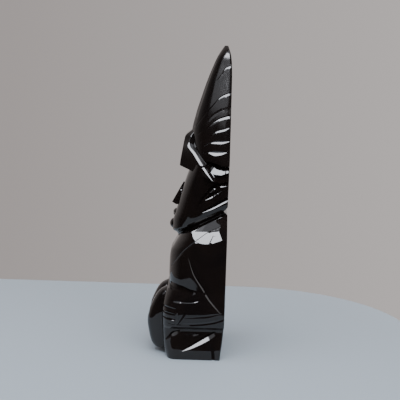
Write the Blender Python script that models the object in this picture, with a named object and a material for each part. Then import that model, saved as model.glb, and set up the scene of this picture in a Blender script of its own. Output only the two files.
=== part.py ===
"""Obsidian totem carving: a seated idol under a tall feather headdress, cut from one block.

The pattern is drawn on a carver's grid of 60 across, 45 deep and 180 high, and the three
driving sizes stretch that grid. Across is X with the middle of the idol at 0, the idol looks
along -Y with its flat back at +22.5, and the underside is at height 0.
"""
import math

import bmesh
import bpy
from mathutils import Vector
from mathutils.bvhtree import BVHTree

for leftover in list(bpy.data.objects):
    bpy.data.objects.remove(leftover, do_unlink=True)

# Driving sizes, in metres.
HEIGHT = 0.180
WIDTH = 0.060
DEPTH = 0.045

# The grid the pattern is drawn on.
GRID_HEIGHT = 180.0
GRID_WIDTH = 60.0
GRID_DEPTH = 45.0
BACK = 22.5

# Cuts of the carving wheel, in metres: how deep, and how wide the wall on each side is.
FEATHER_CUT = (0.0010, 0.0007, 0.0018)
FEATHER_LOW_CUT = (0.0022, 0.0024, 0.0050)
LAPPET_CUT = (0.0015, 0.0012, 0.0014)
COLLAR_CUT = (0.0009, 0.0006, 0.0020)
MANTLE_CUT = (0.0008, 0.0005, 0.0013)
BELLY_CUT = (0.0018, 0.0008, 0.0034)
LINE_CUT = (0.0010, 0.0009, 0.0010)
FINGER_CUT = (0.0009, 0.0007, 0.0007)
FACET_CUT = (0.0012, 0.0005, 0.0026)
MOUTH_CUT = (0.0010, 0.0006, 0.0006)
QUILL_CUT = (0.0013, 0.0011, 0.0011)

# Straight land at the end of a cheek, on the grid.
BACK_LAND = 1.0

# A plate's rim: the slant of its bright bevel, the tuck of its soft one, and where it is rooted.
RIM_IN = 0.5
RIM_FORWARD = 0.866
RIM_TUCK = 0.1
RIM_ROOT_SHARE = 0.83
RIM_ROOT = 0.7

# Resolution of the curved forms.
RING_STEP = 4.0
ARC_STEPS = 6
CUT_STEPS = 8
CUT_REACH = 2.4
LOW_REACH = 1.15
RAY_START = 0.2


def at(x, y, z):
    """Turn a place on the carver's grid into metres."""
    return Vector((x * WIDTH / GRID_WIDTH, y * DEPTH / GRID_DEPTH, z * HEIGHT / GRID_HEIGHT))


def glide(rows, place):
    """Read a table at a place along its first column, with a smooth curve through the rows."""
    places = [row[0] for row in rows]
    index = 0
    while index < len(rows) - 2 and place > places[index + 1]:
        index += 1
    span = places[index + 1] - places[index]
    share = min(max((place - places[index]) / span, 0.0), 1.0)
    values = []
    for column in range(1, len(rows[0])):
        slopes = []
        for low in range(max(index - 1, 0), min(index + 2, len(rows) - 1)):
            rise = rows[low + 1][column] - rows[low][column]
            slopes.append(rise / (places[low + 1] - places[low]))
        here = slopes[1] if index > 0 else slopes[0]
        before = slopes[0]
        after = slopes[-1]
        start = _flat_or_mean(before, here)
        end = _flat_or_mean(here, after)
        a, b = rows[index][column], rows[index + 1][column]
        values.append(
            a * (2 * share ** 3 - 3 * share ** 2 + 1)
            + b * (3 * share ** 2 - 2 * share ** 3)
            + span * start * (share ** 3 - 2 * share ** 2 + share)
            + span * end * (share ** 3 - share ** 2)
        )
    return values


def _flat_or_mean(left, right):
    """Slope that never overshoots between two spans."""
    if left * right <= 0:
        return 0.0
    return 2 * left * right / (left + right)


def round_plan(front, side, back, flat, wide, power):
    """Half of a level cut: flat front and a curved cheek, which the flat back may cut off."""
    reach = side - front
    last_turn = math.acos((max(0.0, side - back + BACK_LAND) / reach) ** (power / 2))
    points = []
    for step in range(ARC_STEPS + 1):
        turn = last_turn * step / ARC_STEPS
        x = flat + (wide - flat) * math.sin(turn) ** (2 / power)
        y = side - reach * max(0.0, math.cos(turn)) ** (2 / power)
        points.append((x, y))
    points.append((points[-1][0], back))
    return points


def plate_plan(front, side, back, flat, wide, bright, soft):
    """Half of a level cut with a flat front, a straight cheek and a rim bevelled twice."""
    return [
        (flat, front),
        (wide - bright * RIM_IN, side - bright * RIM_FORWARD),
        (wide, side),
        (wide - soft * RIM_TUCK, side + soft),
        (wide * RIM_ROOT_SHARE + RIM_ROOT, back),
    ]


def stations(rows):
    """Heights of the rings between the first and the last row of a table."""
    first, last = rows[0][0], rows[-1][0]
    count = max(2, round(abs(last - first) / RING_STEP))
    evenly = [first + (last - first) * step / count for step in range(count + 1)]
    corners = [row[0] for row in rows]
    kept = [z for z in evenly if min(abs(z - corner) for corner in corners) > RING_STEP * 0.3]
    return sorted(set(kept + corners))


def body_from_rings(name, rings):
    """Close a stack of equal rings into one solid mesh object."""
    mesh = bmesh.new()
    loops = [[mesh.verts.new(point) for point in ring] for ring in rings]
    for low, high in zip(loops, loops[1:]):
        for index in range(len(low)):
            following = (index + 1) % len(low)
            mesh.faces.new((low[index], low[following], high[following], high[index]))
    mesh.faces.new(list(reversed(loops[0])))
    mesh.faces.new(loops[-1])
    bmesh.ops.recalc_face_normals(mesh, faces=mesh.faces)
    data = bpy.data.meshes.new(name)
    mesh.to_mesh(data)
    mesh.free()
    return bpy.data.objects.new(name, data)


def loft(name, plan, rows, lean=None):
    """Stack symmetric level cuts from a table whose columns feed the plan function."""
    rings = []
    for z in stations(rows):
        half = plan(*glide(rows, z))
        outline = half + [(-x, y) for x, y in reversed(half)]
        rings.append([at(x, y, z + (lean(y, z) if lean else 0.0)) for x, y in outline])
    return body_from_rings(name, rings)


def grind(body, facets):
    """Cut a body back to planes on both sides: each a grid place and the way it faces."""
    mesh = bmesh.new()
    mesh.from_mesh(body.data)
    for (x, y, z), (u, v, w) in facets:
        for side in (1, -1):
            everything = mesh.verts[:] + mesh.edges[:] + mesh.faces[:]
            bmesh.ops.bisect_plane(
                mesh, geom=everything, plane_co=at(side * x, y, z), plane_no=(side * u, v, w), clear_outer=True
            )
            rim = [edge for edge in mesh.edges if edge.is_boundary]
            bmesh.ops.holes_fill(mesh, edges=rim, sides=0)
    bmesh.ops.recalc_face_normals(mesh, faces=mesh.faces)
    mesh.to_mesh(body.data)
    mesh.free()
    return body


def ease(share):
    """Smooth step from 0 to 1."""
    held = min(max(share, 0.0), 1.0)
    return held * held * (3 - 2 * held)


# The neck groove climbs towards the back, so shoulders and jaw are cut on this slope.
NECK_SLOPE = 0.5
SHOULDER_START = 56.0
SHOULDER_RISE = 28.0
JAW_FRONT = -8.0
JAW_START = 73.0
JAW_RISE = 35.0

# The visor's brim drops towards the back, and the headdress's lower edge rises there.
BRIM_FRONT = -5.8
BRIM_SLOPE = 0.34
BRIM_START = 110.6
BRIM_RISE = 12.0
WING_LEVEL = 13.5
WING_SLOPE = 0.4
WING_START = 105.4
WING_RISE = 14.0


def shoulder_slope(y, z):
    """Drop of the shoulders towards the front, growing to the full slope at their top."""
    return (y - BACK) * NECK_SLOPE * ease((z - SHOULDER_START) / SHOULDER_RISE)


def jaw_slope(y, z):
    """Rise of the jaw towards the back, fading out over the height of the head."""
    return (y - JAW_FRONT) * NECK_SLOPE * (1 - ease((z - JAW_START) / JAW_RISE))


def brim_slope(y, z):
    """Drop of the visor's brim towards the back, fading out up the visor."""
    return (BRIM_FRONT - y) * BRIM_SLOPE * (1 - ease((z - BRIM_START) / BRIM_RISE))


def wing_slope(y, z):
    """Rise of the headdress's lower edge towards the back, fading out above it."""
    return (y - WING_LEVEL) * WING_SLOPE * (1 - ease((z - WING_START) / WING_RISE))


def egg(name, centre, radii, side=1):
    """A smooth egg on the carver's grid, for the small raised forms."""
    mesh = bmesh.new()
    bmesh.ops.create_uvsphere(mesh, u_segments=4 * ARC_STEPS // 2, v_segments=ARC_STEPS + 2, radius=1.0)
    for vert in mesh.verts:
        x, y, z = (middle + reach * part for middle, reach, part in zip(centre, radii, vert.co))
        vert.co = at(side * x, y, z)
    if side < 0:
        bmesh.ops.reverse_faces(mesh, faces=mesh.faces)
    data = bpy.data.meshes.new(name)
    mesh.to_mesh(data)
    mesh.free()
    return bpy.data.objects.new(name, data)


def hull(name, points):
    """The tightest solid round a few grid places."""
    mesh = bmesh.new()
    for point in points:
        mesh.verts.new(at(*point))
    bmesh.ops.convex_hull(mesh, input=mesh.verts)
    bmesh.ops.recalc_face_normals(mesh, faces=mesh.faces)
    data = bpy.data.meshes.new(name)
    mesh.to_mesh(data)
    mesh.free()
    return bpy.data.objects.new(name, data)


def pillar(name, centre, rows, side):
    """Stack oval level cuts beside the middle plane: height, front, rear and half width."""
    rings = []
    for z in stations(rows):
        front, rear, half = glide(rows, z)
        ring = []
        for step in range(4 * ARC_STEPS):
            turn = 2 * math.pi * step / (4 * ARC_STEPS)
            x = centre + half * math.copysign(abs(math.cos(turn)) ** 0.8, math.cos(turn))
            y = (front + rear) / 2 + (rear - front) / 2 * math.sin(turn)
            ring.append(at(side * x, y, z))
        rings.append(ring)
    return body_from_rings(name, rings)


def keep(thing, collection):
    """File a helper body in its collection and keep it out of the finished stone."""
    collection.objects.link(thing)
    thing.hide_render = True
    thing.display_type = 'WIRE'
    return thing


masses = bpy.data.collections.new("masses")
cuts = bpy.data.collections.new("cuts")
details = bpy.data.collections.new("details")
for group in (masses, cuts, details):
    bpy.context.scene.collection.children.link(group)

# Tables of the masses: height, then the columns of the plan function.
HEADDRESS = [
    (105.4, 6.5, 26.0, 22.5, 5.0, 26.6, 1.9),
    (110.0, 3.0, 26.0, 22.5, 5.2, 26.9, 1.9),
    (114.0, 1.8, 26.0, 22.5, 5.2, 26.6, 1.9),
    (120.0, 0.8, 26.0, 22.5, 5.2, 25.6, 1.9),
    (130.0, 0.6, 26.0, 22.5, 5.0, 23.4, 1.9),
    (140.0, 2.5, 26.0, 22.5, 4.6, 20.7, 1.9),
    (150.0, 5.4, 26.0, 22.5, 4.2, 17.7, 1.9),
    (160.0, 8.6, 26.0, 22.5, 3.6, 14.4, 1.9),
    (168.0, 11.6, 25.6, 22.3, 2.9, 11.4, 1.9),
    (173.5, 14.0, 24.4, 21.7, 2.2, 8.8, 1.9),
    (177.5, 16.3, 22.8, 20.8, 1.4, 5.8, 1.9),
    (180.0, 18.0, 21.2, 20.0, 0.6, 2.4, 1.9),
]
VISOR = [
    (110.6, -5.9, 13.3, 17.0, 9.0, 27.9, 0.4, 0.4),
    (113.0, -5.7, 10.4, 14.2, 9.0, 24.9, 1.8, 1.3),
    (116.0, -5.3, 6.4, 10.8, 8.7, 20.2, 2.1, 1.6),
    (119.0, -4.8, 3.1, 8.0, 8.0, 16.0, 2.0, 1.6),
    (122.3, -4.3, -0.4, 5.0, 7.0, 12.0, 1.4, 1.4),
    (124.5, -3.9, -0.6, 4.6, 6.4, 10.6, 0.8, 1.0),
    (127.6, -3.2, 0.2, 4.5, 6.0, 9.6, 0.5, 0.8),
    (131.2, 0.7, 2.6, 4.5, 5.0, 8.0, 0.3, 0.3),
]
HEAD = [
    (60.0, -5.0, 9.0, 22.5, 3.5, 14.5, 2.0),
    (68.8, -6.0, 9.0, 22.5, 3.5, 15.2, 2.0),
    (73.2, -9.2, 8.0, 22.5, 3.0, 18.2, 2.0),
    (78.0, -9.0, 8.0, 22.5, 3.4, 19.2, 2.0),
    (84.0, -7.2, 8.0, 22.5, 4.2, 20.0, 2.0),
    (94.0, -4.5, 8.0, 22.5, 5.0, 21.0, 2.0),
    (104.0, -1.7, 8.0, 22.5, 5.5, 22.0, 2.0),
    (112.0, 1.0, 8.0, 22.5, 5.5, 22.4, 2.0),
]
TORSO = [
    (30.0, -8.5, 20.0, 22.5, 4.0, 28.6, 2.3),
    (42.0, -9.8, 19.5, 22.5, 4.0, 28.6, 2.3),
    (48.0, -10.4, 19.0, 22.5, 4.0, 28.6, 2.3),
    (55.0, -10.4, 19.0, 22.5, 4.5, 28.6, 2.2),
    (61.0, -10.0, 19.0, 22.5, 5.0, 28.5, 2.2),
    (66.0, -9.5, 19.0, 22.5, 5.5, 28.3, 2.2),
    (72.0, -8.8, 19.0, 22.5, 6.0, 28.0, 2.2),
    (78.0, -7.6, 19.0, 22.5, 6.0, 27.4, 2.2),
    (84.0, -4.6, 19.0, 22.5, 6.0, 26.4, 2.2),
]
SHOULDER_FACETS = [
    ((26.6, 9.0, 66.0), (0.79, -0.33, 0.52)),
    ((22.4, 14.4, 75.9), (0.745, -0.20, 0.637)),
    ((19.1, 16.0, 81.8), (0.735, 0.196, 0.652)),
]
LAP = [
    (0.0, -10.4, -5.0, 20.6, 17.0, 27.6, 2.4),
    (5.0, -12.0, -5.0, 21.0, 17.0, 28.0, 2.4),
    (8.0, -12.5, -5.0, 21.4, 17.0, 27.6, 2.4),
    (12.0, -12.9, -5.0, 21.8, 16.9, 27.0, 2.4),
    (17.8, -13.4, -5.0, 22.3, 16.7, 26.4, 2.4),
    (19.4, -13.6, -4.5, 22.5, 16.5, 28.0, 2.4),
    (27.0, -13.7, -2.0, 22.5, 16.2, 30.0, 2.4),
    (34.0, -12.4, 3.0, 22.5, 14.5, 29.2, 2.2),
    (40.0, -9.5, 8.0, 22.5, 12.0, 27.8, 2.2),
]
SHIN = [
    (3.2, -18.0, -6.0, 6.8),
    (5.5, -19.8, -5.0, 7.2),
    (11.0, -21.4, -4.0, 7.7),
    (18.5, -22.5, -3.0, 8.0),
    (25.0, -21.4, -2.0, 8.1),
    (30.0, -19.5, -1.0, 7.9),
    (34.5, -17.2, 0.0, 7.4),
    (37.2, -14.8, 0.0, 6.6),
    (39.2, -11.0, -1.0, 5.0),
]
SHIN_CENTRE = 8.6

keep(loft("headdress_mass", round_plan, HEADDRESS, lean=wing_slope), masses)
keep(loft("visor_mass", plate_plan, VISOR, lean=brim_slope), masses)
keep(loft("head_mass", round_plan, HEAD, lean=jaw_slope), masses)
keep(grind(loft("torso_mass", round_plan, TORSO, lean=shoulder_slope), SHOULDER_FACETS), masses)
keep(loft("lap_mass", round_plan, LAP), masses)
for side in (1, -1):
    keep(pillar(f"shin_mass_{side}", SHIN_CENTRE, SHIN, side), masses)

# The face, laid out by thirds along its slope from under the visor to the chin.
FACE_TOP = 107.0
FACE_LENGTH = 34.5
FACE_LEAN = 0.265


def on_face(across, share, out):
    """A grid place on the face: across, share of the way down, and how far it stands out."""
    z = FACE_TOP - FACE_LENGTH * share
    front = -1.0 - (FACE_TOP - z) * FACE_LEAN
    return across, front - out, z


BROW, EYES, NOSE_BASE, MOUTH, CHIN = 0.20, 0.31, 0.58, 0.73, 0.92
EYE_ACROSS = 6.0
MOUTH_HALF = 4.4
nose = [on_face(across, BROW, out) for across in (-1.5, 1.5) for out in (-2.0, 0.8)]
nose += [on_face(across, NOSE_BASE - 0.03, 4.0) for across in (-1.3, 1.3)]
nose += [on_face(across, NOSE_BASE, out) for across in (-3.5, 3.5) for out in (-2.0, 1.4)]
keep(hull("nose_mass", nose), masses)
keep(egg("lips_mass", on_face(0.0, MOUTH, -1.0), (5.0, 2.6, 2.6)), masses)
keep(egg("chin_mass", on_face(0.0, CHIN, -2.0), (4.6, 3.6, 3.4)), masses)


def outer_surface(bodies):
    """Search trees over the masses, to lay the cutting lines on their outer faces."""
    trees = []
    for body in bodies:
        mesh = bmesh.new()
        mesh.from_mesh(body.data)
        bmesh.ops.triangulate(mesh, faces=mesh.faces)
        trees.append(BVHTree.FromBMesh(mesh))
        mesh.free()
    return trees


SURFACE = outer_surface(masses.objects)


def touch(origin, direction):
    """First place and facing that a straight line meets on the masses."""
    best = None
    for tree in SURFACE:
        place, facing, _, distance = tree.ray_cast(origin, direction)
        if place is not None and (best is None or distance < best[2]):
            best = (place, facing, distance)
    return best


def curve_through(points, steps):
    """Even samples of a smooth curve through a few grid places."""
    rows = [(float(index), *point) for index, point in enumerate(points)]
    last = len(points) - 1
    return [glide(rows, last * step / steps) for step in range(steps + 1)]


def meet(point, view):
    """Lay one drawn point on the masses, seen from the side or from the front."""
    if view == "side":
        return touch(Vector((RAY_START, *at(0, *point)[1:])), Vector((-1, 0, 0)))
    return touch(at(point[0], -GRID_DEPTH, point[1]), Vector((0, 1, 0)))


def cut(name, line, sizes, ends=(0.2, 0.2), view="side", sides=(1, -1), reach=CUT_REACH):
    """Carve a V along a drawn line, deepest in its middle.

    Seen from the side a line is drawn in (depth, height) and from the front in (across,
    height). The sizes are the depth and the widths of the upper and lower wall, and ends are
    the shares of them left at the two ends. The wheel's edges stand out of the stone by reach.
    """
    depth, upper, lower = sizes
    hits = [meet(point, view) for point in curve_through(line, CUT_STEPS)]
    places = [hit[0] for hit in hits if hit]
    facings = [hit[1] for hit in hits if hit]
    last = len(places) - 1
    rings = []
    for index, place in enumerate(places):
        facing = sum(facings[max(index - 1, 0):index + 2], Vector()).normalized()
        ahead = places[min(index + 1, last)] - places[max(index - 1, 0)]
        down = ahead.cross(facing).normalized()
        share = index / last
        swell = math.sin(math.pi * share) ** 0.6 if 0 < index < last else 0.0
        edge = ends[0] * (1 - share) + ends[1] * share
        size = ends[int(share > 0.5)] if ends[int(share > 0.5)] >= 1 else edge + (1 - edge) * swell
        apex = place - facing * depth * size
        foot = place + down * lower * size
        head = place - down * upper * size
        rings.append([apex, apex + (foot - apex) * reach, apex + (head - apex) * reach])
    for side in sides:
        mirrored = [[Vector((side * p.x, p.y, p.z)) for p in ring] for ring in rings]
        keep(body_from_rings(f"{name}_{side}", mirrored), cuts)


# Feather grooves: start depth and height, bend, and height at the back edge.
FEATHERS = [
    (13.5, 160.5, 17.5, 169.0),
    (2.5, 133.5, 13.5, 153.5),
    (7.0, 134.5, 14.0, 143.6),
    (4.0, 129.0, 14.0, 140.8),
    (5.5, 125.0, 14.5, 133.6),
    (7.5, 122.8, 14.5, 126.4),
    (6.7, 119.0, 13.5, 120.2),
]
for number, (front, low, bend, high) in enumerate(FEATHERS):
    line = [(front, low), (bend, low * 0.3 + high * 0.7), (BACK + 0.6, high)]
    cut(f"feather_{number}", line, FEATHER_CUT, ends=(0.15, 1.0))
low_line = [(8.2, 114.6), (14.3, 111.2), (BACK + 0.6, 111.3)]
cut("feather_low", low_line, FEATHER_LOW_CUT, ends=(0.1, 0.5), reach=LOW_REACH)

# The neck groove comes out as a notch in each back edge and runs on across the back.
across_back = [(x, y, z) for x in (-35.0, 35.0) for y, z in ((20.3, 85.4), (24.5, 90.6), (24.5, 81.2))]
keep(hull("nape", across_back), cuts)
for side in (1, -1):
    notch = [(17.4, 25.0, 85.6), (26.0, 15.0, 83.6), (31.0, 27.0, 90.6), (31.0, 27.0, 81.4)]
    keep(hull(f"notch_{side}", [(side * x, y, z) for x, y, z in notch]), cuts)

# Lappets beside the cheeks, the collar, the mantle edge, the folded arm and the seat.
LINES = [
    ("lappet_outer", LAPPET_CUT, [(5.2, 88.4), (9.6, 95.2), (14.6, 100.2), (BACK + 0.5, 102.4)], (0.2, 1.0)),
    ("lappet_inner", LAPPET_CUT, [(9.3, 92.2), (12.6, 94.9), (19.8, 98.8)], (0.2, 0.2)),
    ("lappet_lower", LAPPET_CUT, [(8.0, 84.8), (15.1, 89.0), (BACK + 0.5, 93.6)], (0.2, 1.0)),
    ("collar", COLLAR_CUT, [(-9.2, 52.2), (-1.6, 63.1), (9.0, 73.3), (18.5, 78.4)], (0.2, 0.5)),
    ("mantle", MANTLE_CUT, [(0.9, 58.8), (4.6, 50.0), (9.4, 42.8), (14.2, 35.5), (20.4, 28.1)], (0.2, 0.2)),
    ("belly", BELLY_CUT, [(-9.4, 42.5), (-2.1, 41.5), (3.3, 40.2), (7.8, 39.1)], (0.5, 0.1)),
    ("forearm", LINE_CUT, [(-6.6, 33.2), (2.6, 34.2), (8.2, 35.9)], (0.2, 0.2)),
    ("wrist", LINE_CUT, [(-4.4, 20.5), (-0.6, 27.1), (3.2, 33.1)], (0.2, 0.2)),
    ("palm", LINE_CUT, [(-7.4, 19.2), (-6.6, 25.0), (-6.2, 31.0)], (0.2, 0.2)),
    ("seat_top", LINE_CUT, [(-0.5, 25.0), (11.4, 26.3), (21.0, 28.4)], (0.2, 0.2)),
    ("seat_low", LINE_CUT, [(-13.0, 20.9), (3.1, 19.9), (14.4, 21.7), (BACK + 0.5, 25.2)], (0.2, 1.0)),
    ("foot", FACET_CUT, [(-11.0, 10.6), (-7.0, 14.8), (-2.8, 16.6)], (0.3, 0.3)),
    ("instep", LINE_CUT, [(1.5, 15.6), (4.4, 15.7), (7.2, 15.8)], (0.2, 0.2)),
    ("ankle", FACET_CUT, [(-1.1, 5.6), (8.0, 10.4), (17.5, 15.6)], (0.3, 0.3)),
    ("heel", LINE_CUT, [(14.2, 9.6), (16.4, 5.6), (17.0, -0.5)], (0.2, 1.0)),
]
for name, sizes, line, ends in LINES:
    cut(name, line, sizes, ends=ends)

# Four fingers on each knee, from three level grooves.
for number in range(3):
    height = 28.0 - 2.9 * number
    cut(f"finger_{number}", [(-13.2, height), (-10.0, height - 0.2), (-6.9, height - 0.3)], FINGER_CUT)

# Mouth line, eye hollows and eyeballs.
mouth_height = on_face(0.0, MOUTH, 0.0)[2]
mouth_line = [(across, mouth_height) for across in (-MOUTH_HALF, 0.0, MOUTH_HALF)]
cut("mouth", mouth_line, MOUTH_CUT, view="front", sides=(1,))
for side in (1, -1):
    eye = keep(egg(f"eye_{side}", on_face(EYE_ACROSS, EYES, -2.6), (3.4, 2.6, 1.7), side), details)
    socket = keep(egg(f"socket_{side}", on_face(EYE_ACROSS, EYES, 1.6), (4.4, 3.0, 2.6), side), cuts)
    spare = socket.modifiers.new("spare_the_eyeball", 'BOOLEAN')
    spare.operation = 'DIFFERENCE'
    spare.object = eye
    spare.solver = 'EXACT'

# The quill down the front of the headdress and one more on each side of it.
cut("quill_middle", [(0.0, 133.0), (0.0, 150.0), (0.0, 167.0)], QUILL_CUT, view="front", sides=(1,))
cut("quill_side", [(3.4, 134.5), (3.6, 147.0), (2.6, 161.0)], QUILL_CUT, view="front")

stone = bpy.data.objects.new("obsidian_totem", masses.objects["lap_mass"].data.copy())
bpy.context.scene.collection.objects.link(stone)
for operation, group in (('UNION', masses), ('DIFFERENCE', cuts)):
    step = stone.modifiers.new(group.name, 'BOOLEAN')
    step.operation = operation
    step.operand_type = 'COLLECTION'
    step.collection = group
    step.solver = 'EXACT'

glass = bpy.data.materials.new("polished_obsidian")
glass.use_nodes = True
shader = glass.node_tree.nodes["Principled BSDF"]
shader.inputs["Base Color"].default_value = (0.006, 0.0055, 0.006, 1.0)
shader.inputs["Roughness"].default_value = 0.08
shader.inputs["IOR"].default_value = 1.5
stone.data.materials.clear()
stone.data.materials.append(glass)
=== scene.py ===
"""Looks of the obsidian totem carving: a seated idol under a tall feather headdress.

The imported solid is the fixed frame. The stone shown here is cut again on the same carver's
grid, with the masses and wheel cuts far finer, then polished, so that the black glass takes
smooth reflections between crisp arrises.
"""
import logging
import math
from dataclasses import dataclass, field
from enum import Enum
from typing import Callable, Optional, Sequence

import bmesh
import bpy
import numpy as np
from mathutils import Matrix, Vector
from mathutils.bvhtree import BVHTree


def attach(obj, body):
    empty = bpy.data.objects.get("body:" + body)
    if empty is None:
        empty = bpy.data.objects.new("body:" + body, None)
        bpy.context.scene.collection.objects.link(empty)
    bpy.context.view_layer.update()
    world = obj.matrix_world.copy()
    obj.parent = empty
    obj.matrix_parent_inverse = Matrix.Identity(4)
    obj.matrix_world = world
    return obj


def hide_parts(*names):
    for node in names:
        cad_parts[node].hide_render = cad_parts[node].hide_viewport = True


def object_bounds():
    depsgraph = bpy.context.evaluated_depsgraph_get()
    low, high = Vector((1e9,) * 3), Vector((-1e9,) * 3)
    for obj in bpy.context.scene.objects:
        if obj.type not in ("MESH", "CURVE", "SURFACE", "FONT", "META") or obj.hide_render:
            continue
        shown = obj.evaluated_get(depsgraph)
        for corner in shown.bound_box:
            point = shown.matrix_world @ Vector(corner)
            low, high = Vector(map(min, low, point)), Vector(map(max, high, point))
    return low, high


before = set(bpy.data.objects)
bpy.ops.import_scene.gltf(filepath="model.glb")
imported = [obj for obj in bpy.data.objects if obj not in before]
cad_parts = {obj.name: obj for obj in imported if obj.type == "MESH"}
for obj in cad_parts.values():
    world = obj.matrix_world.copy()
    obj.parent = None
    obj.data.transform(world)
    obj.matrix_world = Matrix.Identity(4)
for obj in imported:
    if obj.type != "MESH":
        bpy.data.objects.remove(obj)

CAD_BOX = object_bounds()
NODE = "obsidian_totem"
MM = 0.001

log = logging.getLogger("totem")

Point = tuple[float, ...]
Row = tuple[float, ...]


class Seen(Enum):
    """Where a cutting line is drawn from."""

    SIDE = "side"
    FRONT = "front"


class Hands(Enum):
    """Whether a form is cut once or on both sides of the middle plane."""

    ONCE = (1,)
    BOTH = (1, -1)


class Facing(Enum):
    """Where a cut's lower wall looks, so that it takes the light of one part of the room."""

    WINDOW = (0.81, -0.28, 0.51)
    GLOW = (0.80, -0.30, 0.52)
    CEILING = (0.73, -0.04, 0.68)
    SIDE = (0.87, 0.43, 0.22)


def linear(code: str) -> tuple[float, float, float, float]:
    """Turn an sRGB hex colour into linear light.

    Args:
        code: Six hex digits with a leading hash sign.

    Returns:
        Red, green, blue and an alpha of one.
    """
    parts = [int(code[start:start + 2], 16) / 255 for start in (1, 3, 5)]
    light = [part / 12.92 if part <= 0.04045 else ((part + 0.055) / 1.055) ** 2.4 for part in parts]
    return light[0], light[1], light[2], 1.0


def add_node(tree: bpy.types.NodeTree, kind: str, settings: Optional[dict] = None,
             links: Optional[dict] = None) -> bpy.types.Node:
    """Add one node with its settings, socket values and incoming links.

    Args:
        tree: The node tree to add to.
        kind: The node's Blender type.
        settings: Attribute names, or input sockets as numbers or as names after "in:", to values.
        links: Input sockets, as numbers or names, to output sockets.

    Returns:
        The new node.
    """
    node = tree.nodes.new(kind)
    for key, value in (settings or {}).items():
        if isinstance(key, int):
            node.inputs[key].default_value = value
        elif key.startswith("in:"):
            node.inputs[key[3:]].default_value = value
        else:
            setattr(node, key, value)
    for key, source in (links or {}).items():
        tree.links.new(source, node.inputs[key])
    return node


def ease(share: float) -> float:
    """Return a smooth step from 0 to 1."""
    held = min(max(share, 0.0), 1.0)
    return held * held * (3 - 2 * held)


def glide(rows: Sequence[Row], place: float) -> list[float]:
    """Read a table at a place along its first column, on a curve that never overshoots.

    Args:
        rows: Rows sorted by their first column.
        place: The value of the first column to read at.

    Returns:
        The other columns at that place.
    """
    table = np.array(rows, float)
    spots, columns = table[:, 0], table[:, 1:]
    index = int(np.clip(np.searchsorted(spots, place) - 1, 0, len(spots) - 2))
    rises = np.diff(columns, axis=0) / np.diff(spots)[:, None]

    def slope(knot: int) -> np.ndarray:
        """Return the slope at a knot: the harmonic mean of its two sides, or flat at a turn."""
        left, right = rises[max(knot - 1, 0)], rises[min(knot, len(rises) - 1)]
        product = left * right
        total = np.where(np.abs(left + right) < 1e-12, 1.0, left + right)
        return np.where(product <= 0, 0.0, 2 * product / total)

    span = spots[index + 1] - spots[index]
    t = float(np.clip((place - spots[index]) / span, 0, 1))
    return list(
        columns[index] * (2 * t ** 3 - 3 * t ** 2 + 1)
        + columns[index + 1] * (3 * t ** 2 - 2 * t ** 3)
        + span * slope(index) * (t ** 3 - 2 * t ** 2 + t)
        + span * slope(index + 1) * (t ** 3 - t ** 2)
    )


@dataclass(frozen=True)
class Grid:
    """The carver's grid: 60 across, 45 deep and 180 high, stretched to the real sizes."""

    height: float = 0.180
    width: float = 0.060
    depth: float = 0.045
    back: float = 22.5

    def at(self, x: float, y: float, z: float) -> Vector:
        """Return a grid place in metres."""
        return Vector((x * self.width / 60.0, y * self.depth / 45.0, z * self.height / 180.0))


@dataclass(frozen=True)
class Fineness:
    """How finely the masses and the cuts are stepped, in grid units and counts."""

    ring: float = 1.1
    arc: int = 28
    cut: int = 24


def round_plan(arc: int, front: float, side: float, back: float, flat: float, wide: float,
               power: float, strip: float = 0.0) -> list[Point]:
    """Return half of a level cut with a curved cheek.

    Args:
        arc: How many steps the cheek's curve has.
        front: Depth of the flat front.
        side: Depth where the curve would reach its full width.
        back: Depth of the flat back, which cuts the curve off.
        flat: Half width of the flat front.
        wide: Half width of the full curve.
        power: Squareness of the curve, 2 for an ellipse.
        strip: Depth of a bevelled strip between the front and the curve.

    Returns:
        Places (across, depth) from the front to the back.
    """
    land, chamfer = 1.0, 0.5
    reach = side - front
    first = math.acos((1 - strip / reach) ** (power / 2))
    last = math.acos((max(0.0, side - back + land) / reach) ** (power / 2))
    turns = [first + (last - first) * step / arc for step in range(arc + 1)]
    cheek = [(flat + (wide - flat) * math.sin(turn) ** (2 / power),
              side - reach * max(0.0, math.cos(turn)) ** (2 / power)) for turn in turns]
    end = cheek[-1][0]
    start = [(flat, front)] if strip > 0 else []
    return start + cheek + [(end, back - chamfer), (end - chamfer, back)]


def plate_plan(arc: int, front: float, side: float, back: float, flat: float, wide: float,
               bright: float, soft: float) -> list[Point]:
    """Return half of a level cut with a straight cheek and a rim bevelled twice.

    Args:
        arc: Not used, a plate has no curve.
        front: Depth of the flat front.
        side: Depth of the rim.
        back: Depth of the hidden back.
        flat: Half width of the flat front.
        wide: Half width at the rim.
        bright: Width of the bevel before the rim.
        soft: Width of the bevel behind the rim.

    Returns:
        Places (across, depth) from the front to the back.
    """
    return [
        (flat, front),
        (wide - bright * 0.42, side - bright * 0.907),
        (wide, side),
        (wide - soft * 0.1, side + soft),
        (wide * 0.83 + 0.7, back),
    ]


def as_object(name: str, mesh: bmesh.types.BMesh, satin: float = 0.0) -> bpy.types.Object:
    """Turn a bmesh into a linked object and free it.

    Args:
        name: The object's name.
        mesh: The bmesh.
        satin: How satin its faces are left, from 0 to 1.

    Returns:
        The linked object.
    """
    data = bpy.data.meshes.new(name)
    mesh.to_mesh(data)
    mesh.free()
    mark = data.attributes.new("satin", "FLOAT", "FACE")
    mark.data.foreach_set("value", [satin] * len(data.polygons))
    thing = bpy.data.objects.new(name, data)
    bpy.context.scene.collection.objects.link(thing)
    return thing


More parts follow.
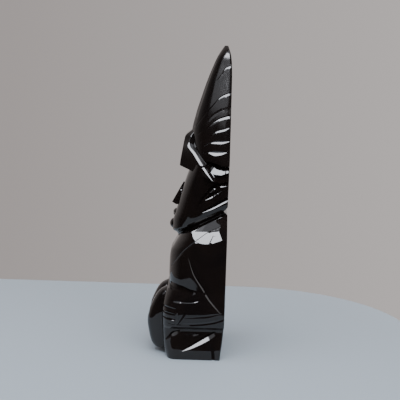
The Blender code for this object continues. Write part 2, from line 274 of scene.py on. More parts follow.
def close_rings(rings: Sequence[Sequence[Vector]]) -> bmesh.types.BMesh:
    """Bridge a stack of equal rings and fill its two ends.

    Args:
        rings: Rings of places in metres, all with the same number of points.

    Returns:
        A closed mesh that faces outwards.
    """
    mesh = bmesh.new()
    loops = []
    for ring in rings:
        verts = [mesh.verts.new(place) for place in ring]
        loops.append([mesh.edges.new((verts[i - 1], verts[i])) for i in range(len(verts))])
    for low, high in zip(loops, loops[1:]):
        bmesh.ops.bridge_loops(mesh, edges=low + high)
    bmesh.ops.holes_fill(mesh, edges=loops[0] + loops[-1], sides=0)
    bmesh.ops.recalc_face_normals(mesh, faces=mesh.faces)
    return mesh


@dataclass(frozen=True)
class Facet:
    """A plane that is ground on a mass, on both sides: a place on it and its facing."""

    place: Point
    facing: Point

    def grind(self, mesh: bmesh.types.BMesh, grid: Grid) -> None:
        """Cut the mesh back to the plane on both sides and close it again."""
        for side in Hands.BOTH.value:
            x, y, z = self.place
            u, v, w = self.facing
            everything = mesh.verts[:] + mesh.edges[:] + mesh.faces[:]
            bmesh.ops.bisect_plane(mesh, geom=everything, plane_co=grid.at(side * x, y, z),
                                   plane_no=(side * u, v, w), clear_outer=True)
            rim = [edge for edge in mesh.edges if edge.is_boundary]
            if rim:
                bmesh.ops.holes_fill(mesh, edges=rim, sides=0)
        bmesh.ops.recalc_face_normals(mesh, faces=mesh.faces)


@dataclass(frozen=True)
class Mass:
    """One rough form of the block: a table of level cuts, lowest first."""

    name: str
    plan: Callable[..., list[Point]]
    rows: tuple[Row, ...]
    lean: Optional[Callable[[float, float], float]] = None
    facets: tuple[Facet, ...] = ()
    satin: float = 0.0

    def heights(self, step: float) -> list[float]:
        """Return the heights of the rings, with every row of the table among them."""
        first, last = self.rows[0][0], self.rows[-1][0]
        count = max(2, round((last - first) / step))
        knots = [row[0] for row in self.rows]
        even = [first + (last - first) * index / count for index in range(count + 1)]
        return sorted(set(knots + [z for z in even if min(abs(z - k) for k in knots) > step * 0.3]))

    def build(self, grid: Grid, fine: Fineness) -> bpy.types.Object:
        """Build the mass as a closed mesh.

        Args:
            grid: The carver's grid.
            fine: How finely to step it.

        Returns:
            The closed mesh object.
        """
        rings = []
        for z in self.heights(fine.ring):
            half = self.plan(fine.arc, *glide(self.rows, z))
            outline = half + [(-x, y) for x, y in reversed(half)]
            rings.append([grid.at(x, y, z + (self.lean(y, z) if self.lean else 0.0))
                          for x, y in outline])
        mesh = close_rings(rings)
        for facet in self.facets:
            facet.grind(mesh, grid)
        return as_object(self.name, mesh, self.satin)


@dataclass(frozen=True)
class Pillar:
    """An oval upright form beside the middle plane: height, front, rear and half width."""

    name: str
    centre: float
    rows: tuple[Row, ...]
    squareness: float = 0.8

    def build(self, grid: Grid, fine: Fineness, side: int) -> bpy.types.Object:
        """Build the pillar on one side, +1 or -1, as a closed mesh."""
        rings = []
        for z in Mass(self.name, round_plan, self.rows).heights(fine.ring):
            front, rear, half = glide(self.rows, z)
            ring = []
            for step in range(4 * fine.arc):
                turn = 2 * math.pi * step / (4 * fine.arc)
                reach = math.copysign(abs(math.cos(turn)) ** self.squareness, math.cos(turn))
                ring.append(grid.at(side * (self.centre + half * reach),
                                    (front + rear) / 2 + (rear - front) / 2 * math.sin(turn), z))
            rings.append(ring)
        return as_object(f"{self.name}_{side}", close_rings(rings))


@dataclass(frozen=True)
class Wheel:
    """The carving wheel's cut in mm: its depth and the widths of its two walls.

    A wheel with a facing holds its lower wall to that facing, and its depth follows.
    """

    depth: float
    upper: float
    lower: float
    facing: Optional[Facing] = None
    satin: float = 0.0
    reach: float = 1.7

    def slope(self, out: Vector, down: Vector, ahead: Vector) -> float:
        """Return the lower wall's rise for each mm of width.

        Args:
            out: The stone's facing.
            down: The way along the surface from the line to the lower wall.
            ahead: The way along the line.

        Returns:
            The rise, held to what a wheel can cut.
        """
        if self.facing is None:
            return self.depth / self.lower
        wanted = Vector(self.facing.value)
        wanted -= ahead * wanted.dot(ahead)
        return min(max(-wanted.dot(down) / max(wanted.dot(out), 0.05), 0.2), 1.2)


@dataclass(frozen=True)
class Stroke:
    """One cut along a line on the stone: places (depth or across, height, size of the cut)."""

    name: str
    wheel: Wheel
    line: tuple[Point, ...]
    seen: Seen = Seen.SIDE
    hands: Hands = Hands.BOTH


@dataclass
class RoughStone:
    """The masses before carving, and search trees to lay cutting lines on them."""

    grid: Grid
    bodies: list[bpy.types.Object] = field(default_factory=list)
    trees: list[BVHTree] = field(default_factory=list)

    def add(self, body: bpy.types.Object) -> None:
        """Take one more mass."""
        mesh = bmesh.new()
        mesh.from_mesh(body.data)
        bmesh.ops.triangulate(mesh, faces=mesh.faces)
        self.trees.append(BVHTree.FromBMesh(mesh))
        mesh.free()
        self.bodies.append(body)

    def touch(self, across: float, high: float, seen: Seen) -> Optional[tuple[Vector, Vector]]:
        """Lay one drawn point on the outermost mass.

        Args:
            across: Depth where it is seen from the side, or width from the front.
            high: Height.
            seen: Where it is drawn from.

        Returns:
            The place and its facing, or nothing where the line misses the stone.
        """
        if seen is Seen.SIDE:
            start, direction = self.grid.at(200.0, across, high), Vector((-1, 0, 0))
        else:
            start, direction = self.grid.at(across, -200.0, high), Vector((0, 1, 0))
        hits = [tree.ray_cast(start, direction) for tree in self.trees]
        found = [hit for hit in hits if hit[0] is not None]
        if not found:
            return None
        best = min(found, key=lambda hit: hit[3])
        return best[0], best[1]

    def cutter(self, stroke: Stroke, steps: int) -> list[bpy.types.Object]:
        """Build the V-shaped cutters of a stroke.

        Args:
            stroke: The stroke to cut.
            steps: How many steps its line is followed in.

        Returns:
            One closed cutter for each hand.
        """
        rows = [(float(index), *point) for index, point in enumerate(stroke.line)]
        drawn = [glide(rows, (len(rows) - 1) * step / steps) for step in range(steps + 1)]
        laid = [(self.touch(across, high, stroke.seen), size) for across, high, size in drawn]
        hits = [(*hit, size) for hit, size in laid if hit]
        wheel = stroke.wheel
        last = len(hits) - 1
        frames = []
        for index in range(last + 1):
            near = hits[max(index - 3, 0):index + 4]
            out = sum((hit[1] for hit in near), Vector()).normalized()
            ahead = (hits[min(index + 1, last)][0] - hits[max(index - 1, 0)][0]).normalized()
            down = ahead.cross(out).normalized()
            frames.append((out, down, wheel.slope(out, down, ahead)))
        rings = []
        for index, (place, _, size) in enumerate(hits):
            out, down, _ = frames[index]
            near = [slope for _, _, slope in frames[max(index - 5, 0):index + 6]]
            apex = place - out * wheel.lower * MM * size * sum(near) / len(near)
            foot = place + down * wheel.lower * MM * size
            head = place - down * wheel.upper * MM * size
            rings.append([apex, apex + (foot - apex) * wheel.reach, apex + (head - apex) * wheel.reach])
        if laid[-1][0] is None:
            rings.append([last + (last - before) * 4 for before, last in zip(rings[-2], rings[-1])])
        mirrored = [[[Vector((side * p.x, p.y, p.z)) for p in ring] for ring in rings]
                    for side in stroke.hands.value]
        return [as_object(f"{stroke.name}_{number}", close_rings(ring_set), wheel.satin)
                for number, ring_set in enumerate(mirrored)]


def shoulder_slope(y: float, z: float) -> float:
    """Return how far the shoulders drop towards the front, growing to their top."""
    return (y - 22.5) * 0.5 * ease((z - 56.0) / 28.0)


def jaw_slope(y: float, z: float) -> float:
    """Return how far the jaw rises towards the back, fading out up the head."""
    return (y + 8.0) * 0.5 * (1 - ease((z - 73.0) / 35.0))


def brim_slope(y: float, z: float) -> float:
    """Return how far the visor's brim drops towards the back, fading out up the visor."""
    return -(y + 5.8) * 0.34 * (1 - ease((z - 110.6) / 12.0))


def wing_slope(y: float, z: float) -> float:
    """Return how far the headdress's lower edge rises towards the back, fading out above it."""
    return (y - 13.5) * 0.4 * (1 - ease((z - 105.4) / 14.0))


def egg(name: str, grid: Grid, centre: Point, radii: Point, side: int = 1) -> bpy.types.Object:
    """Build a smooth egg on the grid, for small raised or hollowed forms."""
    mesh = bmesh.new()
    bmesh.ops.create_uvsphere(mesh, u_segments=40, v_segments=24, radius=1.0)
    for vert in mesh.verts:
        x, y, z = (middle + reach * part for middle, reach, part in zip(centre, radii, vert.co))
        vert.co = grid.at(side * x, y, z)
    if side < 0:
        bmesh.ops.reverse_faces(mesh, faces=mesh.faces)
    return as_object(name, mesh)


def hull(name: str, grid: Grid, points: Sequence[Point]) -> bpy.types.Object:
    """Build the tightest solid round a few grid places."""
    mesh = bmesh.new()
    for point in points:
        mesh.verts.new(grid.at(*point))
    bmesh.ops.convex_hull(mesh, input=mesh.verts)
    bmesh.ops.recalc_face_normals(mesh, faces=mesh.faces)
    return as_object(name, mesh)


FEATHER = Wheel(1.2, 0.6, 1.1, Facing.WINDOW)
FEATHER_SOFT = Wheel(0.14, 0.9, 1.6, None, 1.0)
FEATHER_LOW = Wheel(2.2, 2.4, 5.0, Facing.WINDOW, 0.0, 1.15)
LAPPET = Wheel(1.5, 1.2, 1.4)
COLLAR = Wheel(1.3, 0.6, 2.0, Facing.WINDOW)
MANTLE = Wheel(0.8, 0.5, 0.9, Facing.SIDE)
TAIL = Wheel(1.2, 0.4, 3.0, Facing.GLOW)
TOP_LINE = Wheel(1.0, 0.4, 1.0, Facing.CEILING)
BELLY = Wheel(1.2, 0.8, 3.4)
LINE = Wheel(1.0, 0.9, 1.0)
BRIGHT_LINE = Wheel(1.0, 0.6, 1.0, Facing.WINDOW)
SEAM = Wheel(0.4, 1.4, 0.9)
FINGER = Wheel(0.7, 1.2, 0.5)
ANKLE = Wheel(1.2, 0.9, 2.4, Facing.WINDOW)
FOOT = Wheel(1.1, 0.6, 2.3, None, 0.6)
MOUTH_LINE = Wheel(1.0, 0.6, 0.6)
QUILL = Wheel(1.3, 1.1, 1.1)


@dataclass
class CarvedTotem:
    """The whole stone: masses, wheel cuts, small details and polish."""

    grid: Grid = field(default_factory=Grid)
    fine: Fineness = field(default_factory=Fineness)
    arris_degrees: float = 14.0
    face_top: float = 107.0
    face_length: float = 34.5
    face_lean: float = 0.265
    brow: float = 0.20
    eyes: float = 0.31
    nose_base: float = 0.58
    mouth: float = 0.73
    chin: float = 0.92

    def masses(self) -> list[Mass]:
        """Return the rough forms of the block, from the headdress down to the lap."""
        return [
            Mass("headdress", round_plan, (
                (105.4, 6.5, 26.0, 22.5, 5.0, 26.6, 1.9, 1.2),
                (110.0, 3.0, 26.0, 22.5, 5.2, 26.9, 1.9, 1.4),
                (114.0, 1.8, 26.0, 22.5, 5.2, 26.6, 1.9, 1.5),
                (120.0, 0.8, 26.0, 22.5, 5.2, 25.6, 1.9, 1.5),
                (130.0, 0.6, 26.0, 22.5, 5.0, 23.4, 1.9, 1.5),
                (140.0, 2.5, 26.0, 22.5, 4.6, 20.7, 1.9, 1.5),
                (150.0, 5.4, 26.0, 22.5, 4.2, 17.7, 1.9, 1.4),
                (160.0, 8.6, 26.0, 22.5, 3.6, 14.4, 1.9, 1.2),
                (168.0, 11.6, 25.6, 22.3, 2.9, 11.8, 1.9, 1.0),
                (174.0, 14.2, 24.3, 21.7, 2.2, 9.7, 1.9, 0.8),
                (177.5, 16.3, 22.8, 20.8, 1.4, 6.8, 1.9, 0.5),
                (180.0, 18.0, 21.2, 20.0, 0.6, 2.4, 1.9, 0.2),
            ), wing_slope, (), 1.0),
            Mass("visor", plate_plan, (
                (110.6, -5.9, 13.3, 17.0, 9.0, 27.9, 0.4, 0.4),
                (113.0, -5.7, 10.4, 14.2, 9.0, 24.9, 1.8, 1.3),
                (116.0, -5.3, 6.4, 10.8, 8.7, 20.2, 2.1, 1.6),
                (119.0, -4.8, 3.1, 8.0, 8.0, 16.0, 2.0, 1.6),
                (122.3, -4.3, -0.4, 5.0, 7.0, 12.0, 1.4, 1.4),
                (124.5, -3.9, -0.6, 4.6, 6.4, 10.6, 0.5, 1.0),
                (127.6, -3.2, 0.2, 4.5, 6.0, 9.6, 0.2, 0.8),
                (131.2, 0.7, 2.6, 4.5, 5.0, 8.0, 0.1, 0.3),
            ), brim_slope),
            Mass("head", round_plan, (
                (60.0, -5.0, 9.0, 22.5, 3.5, 14.5, 2.0),
                (68.8, -6.0, 9.0, 22.5, 3.5, 15.2, 2.0),
                (73.2, -9.2, 8.0, 22.5, 3.0, 18.2, 2.0),
                (78.0, -9.0, 8.0, 22.5, 3.4, 19.2, 2.0),
                (84.0, -7.2, 8.0, 22.5, 4.2, 20.0, 2.0),
                (94.0, -4.5, 8.0, 22.5, 5.0, 21.0, 2.0),
                (104.0, -1.7, 8.0, 22.5, 5.5, 22.0, 2.0),
                (112.0, 1.0, 8.0, 22.5, 5.5, 22.4, 2.0),
            ), jaw_slope),
            Mass("torso", round_plan, (
                (30.0, -9.6, 20.0, 22.5, 4.0, 28.6, 2.3),
                (42.0, -10.2, 19.5, 22.5, 4.0, 28.6, 2.3),
                (48.0, -10.5, 19.0, 22.5, 4.0, 28.6, 2.3),
                (55.0, -10.4, 19.0, 22.5, 4.5, 28.6, 2.2),
                (61.0, -10.0, 19.0, 22.5, 5.0, 28.5, 2.2),
                (66.0, -9.5, 19.0, 22.5, 5.5, 28.3, 2.2),
                (72.0, -8.8, 19.0, 22.5, 6.0, 28.0, 2.2),
                (78.0, -7.6, 19.0, 22.5, 6.0, 27.4, 2.2),
                (84.0, -4.6, 19.0, 22.5, 6.0, 26.4, 2.2),
            ), shoulder_slope, (
                Facet((26.9, 12.0, 69.2), (0.82, -0.22, 0.53)),
                Facet((23.4, 15.0, 75.4), (0.69, -0.20, 0.70)),
                Facet((19.1, 16.0, 81.8), (0.735, 0.196, 0.652)),
            )),
            Mass("lap", round_plan, (
                (0.0, -10.4, -5.0, 20.6, 17.0, 27.6, 2.4),
                (5.0, -12.0, -5.0, 21.0, 17.0, 28.0, 2.4),
                (8.0, -12.5, -5.0, 21.4, 17.0, 27.6, 2.4),
                (12.0, -12.9, -5.0, 21.8, 16.9, 27.0, 2.4),
                (17.8, -13.4, -5.0, 22.3, 16.7, 26.4, 2.4),
                (19.4, -13.6, -4.5, 22.5, 16.5, 28.0, 2.4),
                (27.0, -13.7, -2.0, 22.5, 16.2, 30.0, 2.4),
                (34.0, -12.8, 2.0, 22.5, 14.8, 29.4, 2.2),
                (40.0, -10.9, 6.0, 22.5, 13.2, 28.6, 2.2),
            )),
        ]

    def shins(self) -> Pillar:
        """Return the knee and shin that stands forward on each side."""
        return Pillar("shin", 8.6, (
            (3.2, -18.0, -6.0, 6.8),
            (5.5, -19.8, -5.0, 7.2),
            (11.0, -21.4, -4.0, 7.7),
            (18.5, -22.5, -3.0, 8.0),
            (25.0, -21.4, -2.0, 8.1),
            (30.0, -19.5, -1.0, 7.9),
            (34.5, -17.2, 0.0, 7.4),
            (37.2, -14.8, 0.0, 6.6),
            (39.2, -11.0, -1.0, 5.0),
        ))

    def on_face(self, across: float, share: float, out: float) -> Point:
        """Return a grid place on the sloping face: across, share of the way down, and out."""
        z = self.face_top - self.face_length * share
        return across, -1.0 - (self.face_top - z) * self.face_lean - out, z

    def feather_strokes(self) -> list[Stroke]:
        """Return the cuts that part the feathers, from the top down."""
        lines = (
            ((13.8, 160.1, 0.2), (16.8, 163.8, 0.5), (18.6, 167.0, 0.7), (23.2, 169.2, 1.0)),
            ((2.3, 133.2, 0.2), (5.8, 138.0, 0.5), (9.3, 142.8, 0.5), (12.8, 146.9, 0.5),
             (16.2, 150.6, 0.6), (19.1, 152.3, 0.9), (23.2, 153.7, 1.0)),
            ((3.6, 129.0, 0.2), (7.1, 131.8, 0.5), (10.9, 135.0, 0.6), (13.5, 136.9, 0.8),
             (16.0, 138.6, 1.1), (19.5, 139.9, 1.2), (23.2, 141.0, 1.2)),
            ((5.4, 124.9, 0.2), (10.5, 128.3, 0.5), (13.7, 131.0, 0.6), (16.8, 132.4, 1.0),
             (18.7, 132.9, 1.0), (21.4, 133.9, 0.4)),
            ((7.7, 122.7, 0.2), (11.1, 124.8, 0.4), (14.4, 125.7, 1.0), (17.6, 125.9, 1.1),
             (21.8, 126.5, 0.3)),
            ((6.7, 118.9, 0.2), (10.4, 119.6, 0.5), (14.0, 119.7, 1.7), (17.5, 119.9, 1.2),
             (20.8, 120.3, 0.1)),
        )
        cuts = [Stroke(f"feather_{number}", FEATHER, line) for number, line in enumerate(lines)]
        soft = ((7.0, 134.8, 0.3), (9.5, 137.4, 0.8), (13.0, 140.8, 1.0), (16.5, 143.0, 1.1),
                (19.4, 144.0, 1.1), (23.2, 143.4, 1.0))
        cuts.append(Stroke("feather_soft", FEATHER_SOFT, soft))
        low = ((9.6, 113.4, 0.4), (11.4, 112.4, 0.8), (14.3, 111.3, 1.0), (18.8, 110.7, 0.75),
               (23.2, 111.3, 0.5))
        cuts.append(Stroke("feather_low", FEATHER_LOW, low))
        return cuts

    def strokes(self) -> list[Stroke]:
        """Return every wheel cut below the feathers, down to the heel."""
        out = self.grid.back + 0.7
        cuts = [
            Stroke("lappet_outer", LAPPET,
                   ((5.2, 88.4, 0.2), (9.6, 95.2, 0.9), (14.6, 100.2, 1.0), (out, 102.4, 1.0))),
            Stroke("lappet_inner", LAPPET, ((9.3, 92.2, 0.2), (12.6, 94.9, 1.0), (19.8, 98.8, 0.2))),
            Stroke("lappet_lower", LAPPET, ((8.0, 84.8, 0.2), (15.1, 89.0, 1.0), (out, 93.6, 1.0))),
            Stroke("collar", COLLAR, ((-9.2, 52.2, 0.2), (-1.6, 63.1, 0.6), (9.0, 72.3, 0.5),
                                      (12.1, 74.4, 0.5), (18.5, 77.4, 0.4))),
            Stroke("mantle", MANTLE, ((0.9, 58.8, 0.2), (4.6, 50.0, 0.9), (9.4, 42.8, 1.0),
                                      (14.2, 35.5, 0.9), (20.4, 28.1, 0.2))),
            Stroke("belly", BELLY, ((-9.4, 42.5, 0.5), (-2.1, 41.5, 1.0), (2.6, 40.4, 0.6),
                                    (6.0, 39.6, 0.1))),
            Stroke("forearm", BRIGHT_LINE, ((-7.0, 34.0, 0.5), (-4.2, 34.2, 0.8), (-1.6, 34.3, 0.4))),
            Stroke("forearm_rear", TOP_LINE, ((-3.0, 34.3, 0.5), (2.5, 34.5, 0.8), (7.6, 35.2, 0.3))),
            Stroke("wrist", BRIGHT_LINE, ((-4.4, 20.5, 0.2), (-0.6, 27.1, 0.8), (2.2, 31.6, 0.1))),
            Stroke("palm", SEAM, ((-5.6, 19.2, 0.3), (-5.0, 25.0, 1.0), (-4.8, 31.0, 0.3))),
            Stroke("seat_top", SEAM, ((-0.5, 25.0, 0.2), (11.4, 26.3, 1.0), (21.0, 28.4, 0.2))),
            Stroke("seat_low", SEAM, ((-12.0, 21.5, 0.1), (-4.0, 21.0, 0.4), (3.1, 20.9, 1.0),
                                      (14.4, 22.3, 1.0), (out, 25.4, 1.0))),
            Stroke("foot", FOOT, ((-11.0, 11.2, 0.3), (-7.0, 15.6, 1.0), (-2.8, 17.2, 0.4))),
            Stroke("tail", TAIL, ((12.2, 68.2, 0.2), (13.2, 69.6, 0.8), (14.6, 72.6, 0.6))),
            Stroke("instep", BRIGHT_LINE, ((0.2, 14.5, 0.3), (4.0, 14.7, 1.0), (8.0, 15.0, 0.3))),
            Stroke("ankle", ANKLE, ((-1.2, 5.2, 0.1), (3.3, 7.9, 0.6), (7.9, 10.8, 0.9),
                                    (12.4, 13.6, 1.0), (16.6, 16.2, 0.8), (17.6, 16.8, 0.3))),
            Stroke("heel", LINE, ((14.2, 9.6, 0.3), (16.4, 5.6, 1.0), (17.0, -0.5, 1.0))),
            Stroke("quill_middle", QUILL, ((0.0, 133.0, 0.2), (0.0, 150.0, 1.0), (0.0, 168.0, 0.2)),
                   Seen.FRONT, Hands.ONCE),
            Stroke("quill_side", QUILL, ((3.4, 134.5, 0.2), (3.6, 147.0, 1.0), (2.6, 161.0, 0.2)),
                   Seen.FRONT),
        ]
        for number in range(3):
            high = 30.2 - 3.1 * number
            cuts.append(Stroke(f"finger_{number}", FINGER,
                               ((-13.2, high, 0.5), (-10.0, high - 0.2, 1.0), (-5.6, high - 0.3, 0.6))))
        lips = self.on_face(0.0, self.mouth, 0.0)[2]
        cuts.append(Stroke("mouth", MOUTH_LINE, ((-4.4, lips, 0.2), (0.0, lips, 1.0), (4.4, lips, 0.2)),
                           Seen.FRONT, Hands.ONCE))
        return cuts

    def rough(self) -> RoughStone:
        """Block out the stone.

        Returns:
            The masses with their search trees.
        """
        stone = RoughStone(self.grid)
        for mass in self.masses():
            stone.add(mass.build(self.grid, self.fine))
        for side in Hands.BOTH.value:
            stone.add(self.shins().build(self.grid, self.fine, side))
        nose = [self.on_face(x, self.brow, out) for x in (-1.5, 1.5) for out in (-2.0, 0.8)]
        nose += [self.on_face(x, self.nose_base - 0.03, 4.0) for x in (-1.3, 1.3)]
        nose += [self.on_face(x, self.nose_base, out) for x in (-3.5, 3.5) for out in (-2.0, 1.4)]
        stone.add(hull("nose", self.grid, nose))
        stone.add(egg("lips", self.grid, self.on_face(0.0, self.mouth, -1.0), (5.0, 2.6, 2.6)))
        stone.add(egg("chin", self.grid, self.on_face(0.0, self.chin, -2.0), (4.6, 3.6, 3.4)))
        return stone

    def hollows(self) -> list[bpy.types.Object]:
        """Return the cutters that no wheel makes: the nape, its notches and the eye hollows."""
        nape = [(x, y, z) for x in (-35.0, 35.0)
                for y, z in ((20.3, 85.4), (24.5, 90.6), (24.5, 81.2))]
        made = [hull("nape", self.grid, nape)]
        for side in Hands.BOTH.value:
            notch = [(17.4, 25.0, 85.6), (26.0, 15.0, 83.6), (31.0, 27.0, 90.6), (31.0, 27.0, 81.4)]
            made.append(hull(f"notch_{side}", self.grid, [(side * x, y, z) for x, y, z in notch]))
            made.append(self.socket(side))
        return made

    def socket(self, side: int) -> bpy.types.Object:
        """Return the cutter of one eye hollow, +1 or -1, which leaves the eyeball standing."""
        hollow = egg(f"socket_{side}", self.grid, self.on_face(6.0, self.eyes, 1.6),
                     (4.4, 3.0, 2.6), side)
        eyeball = egg(f"eye_{side}", self.grid, self.on_face(6.0, self.eyes, -2.6),
                      (3.4, 2.6, 1.7), side)
        spare = hollow.modifiers.new("spare_the_eyeball", "BOOLEAN")
        spare.operation, spare.object, spare.solver = "DIFFERENCE", eyeball, "EXACT"
        self.settle(hollow)
        bpy.data.meshes.remove(eyeball.data)
        return hollow

    def carve(self) -> bpy.types.Object:
        """Join the masses and cut every stroke and hollow.

        Returns:
            The carved stone as one closed mesh.
        """
        rough = self.rough()
        cutters = [body for stroke in self.feather_strokes() + self.strokes()
                   for body in rough.cutter(stroke, self.fine.cut)]
        groups = (("UNION", rough.bodies), ("DIFFERENCE", cutters + self.hollows()))
        stone = bpy.data.objects.new("carved_obsidian_totem", rough.bodies[4].data.copy())
        bpy.context.scene.collection.objects.link(stone)
        for number, (operation, bodies) in enumerate(groups):
            drawer = bpy.data.collections.new(f"step_{number}")
            for body in bodies:
                drawer.objects.link(body)
                bpy.context.scene.collection.objects.unlink(body)
            step = stone.modifiers.new(drawer.name, "BOOLEAN")
            step.operation, step.operand_type, step.solver = operation, "COLLECTION", "EXACT"
            step.collection = drawer
        self.settle(stone)
        for number, (_, bodies) in enumerate(groups):
            for body in bodies:
                bpy.data.meshes.remove(body.data)
            bpy.data.collections.remove(bpy.data.collections[f"step_{number}"])
        return stone

    @staticmethod
    def settle(thing: bpy.types.Object) -> None:
        """Turn an object's live modifiers into its mesh."""
        shape = bpy.data.meshes.new_from_object(
            thing.evaluated_get(bpy.context.evaluated_depsgraph_get()))
        thing.modifiers.clear()
        old = thing.data
        thing.data = shape
        bpy.data.meshes.remove(old)

    def build(self) -> bpy.types.Object:
        """Carve, polish and dress the stone, and hang it on the frame.

        Returns:
            The finished piece.
        """
        stone = self.carve()
        stone.data.shade_smooth()
        stone.data.set_sharp_from_angle(angle=math.radians(self.arris_degrees))
        stone.data.materials.clear()
        stone.data.materials.append(PolishedObsidian().material())
        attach(stone, "root")
        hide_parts(NODE)
        return stone


@dataclass(frozen=True)
class PolishedObsidian:
    """Obsidian, a black volcanic glass, ground on a wheel and buffed by hand.

    It gives the eye a near-black body, faintly brown where it is thin, under mirror reflections
    on its facets and a soft grey sheen on the feathers, where the buff left it satin.
    """

    body: str = "#0a090a"
    smoky: str = "#1b1411"
    mirror: float = 0.05
    satin: float = 0.15
    wave_mm: float = 9.0
    swirl_mm: float = 24.0
    rub_mm: float = 1.6
    rub_stretch: float = 0.12

    def material(self) -> bpy.types.Material:
        """Return the stone's material."""
        made = bpy.data.materials.new("polished_obsidian")
        made.use_nodes = True
        tree = made.node_tree
        shader = tree.nodes["Principled BSDF"]
        shader.inputs["IOR"].default_value = 1.5
        place = add_node(tree, "ShaderNodeTexCoord").outputs["Object"]
        smoke = add_node(tree, "ShaderNodeTexNoise", {
            "in:Scale": 1000 / self.swirl_mm, "in:Detail": 3.0, "in:Distortion": 1.2}, {"Vector": place})
        tone = add_node(tree, "ShaderNodeMix", {
            "data_type": "RGBA", 6: linear(self.body), 7: linear(self.smoky)},
            {0: smoke.outputs["Fac"]})
        tree.links.new(tone.outputs[2], shader.inputs["Base Color"])
        drawn = add_node(tree, "ShaderNodeMapping", {"in:Scale": (1.0, 1.0, self.rub_stretch)},
                         {"Vector": place})
        buff = add_node(tree, "ShaderNodeTexNoise", {
            "in:Scale": 1000 / self.rub_mm, "in:Detail": 4.0}, {"Vector": drawn.outputs[0]})
        mark = add_node(tree, "ShaderNodeAttribute", {"attribute_name": "satin"})
        patchy = add_node(tree, "ShaderNodeMapRange", {
            "in:From Min": 0.35, "in:From Max": 0.65, "in:To Min": 0.5, "in:To Max": 1.2},
            {"Value": buff.outputs["Fac"]})
        amount = add_node(tree, "ShaderNodeMath", {"operation": "MULTIPLY"},
                          {0: mark.outputs["Fac"], 1: patchy.outputs[0]})
        gloss = add_node(tree, "ShaderNodeMapRange", {
            "in:To Min": self.mirror, "in:To Max": self.satin}, {"Value": amount.outputs[0]})
        tree.links.new(gloss.outputs[0], shader.inputs["Roughness"])
        wave = add_node(tree, "ShaderNodeTexNoise", {
            "in:Scale": 1000 / self.wave_mm, "in:Detail": 2.0}, {"Vector": place})
        bump = add_node(tree, "ShaderNodeBump", {
            "in:Strength": 0.4, "in:Distance": 0.0001}, {"Height": wave.outputs["Fac"]})
        tree.links.new(bump.outputs["Normal"], shader.inputs["Normal"])
        return made


@dataclass(frozen=True)
class MattPaint:
    """Plain matt paint on the table top."""

    name: str
    colour: str
    roughness: float = 0.6

    def material(self) -> bpy.types.Material:
        """Return the paint's material."""
        made = bpy.data.materials.new(self.name)
        made.use_nodes = True
        tree = made.node_tree
        shader = tree.nodes["Principled BSDF"]
        shader.inputs["Roughness"].default_value = self.roughness
        place = add_node(tree, "ShaderNodeTexCoord").outputs["Object"]
        mottle = add_node(tree, "ShaderNodeTexNoise", {"in:Scale": 3.0, "in:Detail": 2.0},
                          {"Vector": place})
        tone = add_node(tree, "ShaderNodeMapRange", {"in:To Min": 0.97, "in:To Max": 1.03},
                        {"Value": mottle.outputs["Fac"]})
        mix = add_node(tree, "ShaderNodeMix", {
            "data_type": "RGBA", "blend_type": "MULTIPLY", 0: 1.0, 6: linear(self.colour)},
            {7: tone.outputs[0]})
        tree.links.new(mix.outputs[2], shader.inputs["Base Color"])
        return made


@dataclass(frozen=True)
class SoftLight:
    """One studio panel, aimed at the stone."""

    name: str
    azimuth: float
    elevation: float
    distance: float
    width: float
    height: float
    strength: float
    colour: str = "#ffffff"
    mirrored: bool = True

    def place(self, middle: Vector) -> None:
        """Hang the panel round the stone's middle."""
        a, e = math.radians(self.azimuth), math.radians(self.elevation)
        out = Vector((math.sin(a) * math.cos(e), -math.cos(a) * math.cos(e), math.sin(e)))
        lamp = bpy.data.lights.new(self.name, "AREA")
        lamp.shape, lamp.size, lamp.size_y = "RECTANGLE", self.width, self.height
        lamp.color = linear(self.colour)[:3]
        lamp.energy = self.strength * self.width * self.height
        thing = bpy.data.objects.new(self.name, lamp)
        thing.visible_diffuse = not self.mirrored
        thing.visible_glossy = self.mirrored
        thing.location = middle + out * self.distance
        thing.rotation_mode = "QUATERNION"
        thing.rotation_quaternion = out.to_track_quat("Z", "Y")
        bpy.context.scene.collection.objects.link(thing)


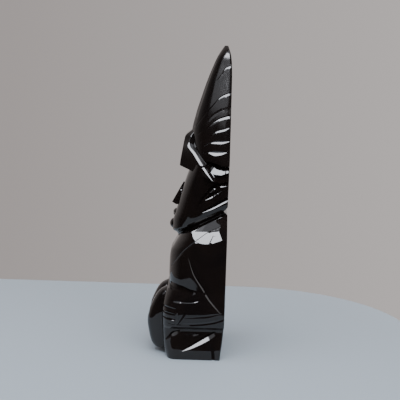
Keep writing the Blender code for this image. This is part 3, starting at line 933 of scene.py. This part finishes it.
@dataclass
class Studio:
    """The pale floor, the soft light and the camera at the photograph's angle."""

    far_edge: float = -0.165
    near_edge: float = 0.150
    right_edge: float = 0.150
    left_edge: float = -0.165
    corner: float = 0.110
    wall: str = "#aaa3a1"
    wall_right: str = "#c2bcba"
    dark: str = "#262423"
    azimuth: float = 90.0
    elevation: float = 8.0
    roll: float = 1.8
    distance: float = 0.555
    focal_pixels: float = 937.0
    aim: tuple[float, float] = (189.2, 198.6)
    picture: float = 400.0

    def floor(self) -> bpy.types.Object:
        """Return the pale table top that the stone stands on."""
        mesh = bmesh.new()
        bmesh.ops.create_grid(mesh, x_segments=1, y_segments=1, size=0.5)
        for vert in mesh.verts:
            vert.co.x = self.far_edge if vert.co.x < 0 else self.near_edge
            vert.co.y = self.left_edge if vert.co.y < 0 else self.right_edge
        corner = [v for v in mesh.verts if v.co.y > 0]
        bmesh.ops.bevel(mesh, geom=corner, offset=self.corner, offset_type="OFFSET", segments=24,
                        profile=0.5, affect="VERTICES", material=-1)
        top = bmesh.ops.extrude_face_region(mesh, geom=mesh.faces[:])
        bmesh.ops.translate(mesh, vec=(0, 0, -0.025),
                            verts=[g for g in top["geom"] if isinstance(g, bmesh.types.BMVert)])
        bmesh.ops.recalc_face_normals(mesh, faces=mesh.faces)
        rim = [edge for edge in mesh.edges if edge.is_manifold and all(v.co.z > -0.001 for v in edge.verts)
               and edge.calc_face_angle(0) > 1.0]
        bmesh.ops.bevel(mesh, geom=rim, offset=0.004, segments=4, profile=0.5, affect="EDGES",
                        material=-1)
        floor = as_object("pale_floor", mesh)
        floor.data.shade_smooth()
        floor.data.set_sharp_from_angle(angle=math.radians(30))
        floor.data.materials.append(MattPaint("pale_matt_paint", "#a3acb3").material())
        return floor

    def air(self) -> None:
        """Set the soft light of the room: pale behind the stone and dim all round."""
        world = bpy.data.worlds.new("soft_room")
        bpy.context.scene.world = world
        world.use_nodes = True
        tree = world.node_tree
        tree.nodes.clear()
        place = add_node(tree, "ShaderNodeTexCoord").outputs["Generated"]
        split = add_node(tree, "ShaderNodeSeparateXYZ", links={0: place})
        across = add_node(tree, "ShaderNodeMapRange", {
            "in:From Min": -0.2, "in:From Max": 0.2}, {"Value": split.outputs[1]})
        wall = add_node(tree, "ShaderNodeMix", {
            "data_type": "RGBA", 6: linear(self.wall), 7: linear(self.wall_right)},
            {0: across.outputs[0]})
        side = add_node(tree, "ShaderNodeMapRange", {
            "interpolation_type": "SMOOTHSTEP", "in:From Min": -0.6, "in:From Max": 0.1},
            {"Value": split.outputs[0]})
        room = add_node(tree, "ShaderNodeMix", {
            "data_type": "RGBA", 7: linear(self.dark)}, {0: side.outputs[0], 6: wall.outputs[2]})
        mirrored = add_node(tree, "ShaderNodeLightPath").outputs["Is Glossy Ray"]
        pick = add_node(tree, "ShaderNodeMix", {"data_type": "RGBA"},
                        {0: mirrored, 6: wall.outputs[2], 7: room.outputs[2]})
        shine = add_node(tree, "ShaderNodeBackground", links={0: pick.outputs[2]})
        add_node(tree, "ShaderNodeOutputWorld", links={0: shine.outputs[0]})

    def lights(self) -> list[SoftLight]:
        """Return the panels.

        The stone mirrors the window and the ceiling. The soft sky only lights the table.
        """
        return [
            SoftLight("window", 40.0, 53.0, 1.6, 0.95, 0.66, 70.0, "#f4f7ff"),
            SoftLight("window_glow", 42.0, 48.0, 1.7, 1.4, 1.25, 3.8, "#f4f7ff"),
            SoftLight("ceiling", 80.0, 82.0, 1.5, 1.0, 1.0, 5.5, "#f0f5ff"),
            SoftLight("side_fill", 143.0, 15.0, 1.6, 0.8, 1.2, 6.0),
            SoftLight("soft_sky", 92.0, 60.0, 1.5, 2.2, 2.2, 12.0, "#ebf4ff", False),
        ]

    def camera(self, middle: Vector) -> bpy.types.Object:
        """Set the camera where the photograph was taken from.

        Args:
            middle: The middle of the stone's box.

        Returns:
            The camera.
        """
        a, e, turn = (math.radians(value) for value in (self.azimuth, self.elevation, self.roll))
        back = Vector((math.sin(a) * math.cos(e), -math.cos(a) * math.cos(e), math.sin(e)))
        right = (-back).cross(Vector((0, 0, 1))).normalized()
        up = right.cross(-back)
        half = self.picture / 2
        dx, dy = self.aim[0] - half, half - self.aim[1]
        flat_x = dx * math.cos(turn) - dy * math.sin(turn)
        flat_y = dx * math.sin(turn) + dy * math.cos(turn)
        ray = -back + right * (flat_x / self.focal_pixels) + up * (flat_y / self.focal_pixels)
        lens = bpy.data.cameras.new("camera")
        lens.sensor_width = 36.0
        lens.lens = self.focal_pixels / self.picture * lens.sensor_width
        lens.clip_start, lens.clip_end = 0.01, 50.0
        camera = bpy.data.objects.new("camera", lens)
        bpy.context.scene.collection.objects.link(camera)
        leaned_right = right * math.cos(turn) + up * math.sin(turn)
        leaned_up = up * math.cos(turn) - right * math.sin(turn)
        turned = Matrix((leaned_right, leaned_up, back)).transposed().to_4x4()
        camera.matrix_world = Matrix.Translation(middle - ray * self.distance) @ turned
        bpy.context.scene.camera = camera
        return camera

    def build(self, middle: Vector) -> None:
        """Build the floor, the air, the panels and the camera."""
        self.floor()
        self.air()
        for light in self.lights():
            light.place(middle)
        self.camera(middle)


def main() -> None:
    """Build the stone and the studio, and report each."""
    logging.basicConfig(level=logging.INFO, format="%(name)s: %(message)s")
    stone = CarvedTotem().build()
    log.info("%s: %d faces", stone.name, len(stone.data.polygons))
    low, high = CAD_BOX
    Studio().build((low + high) / 2)
    log.info("studio ready")


if __name__ == "__main__":
    main()
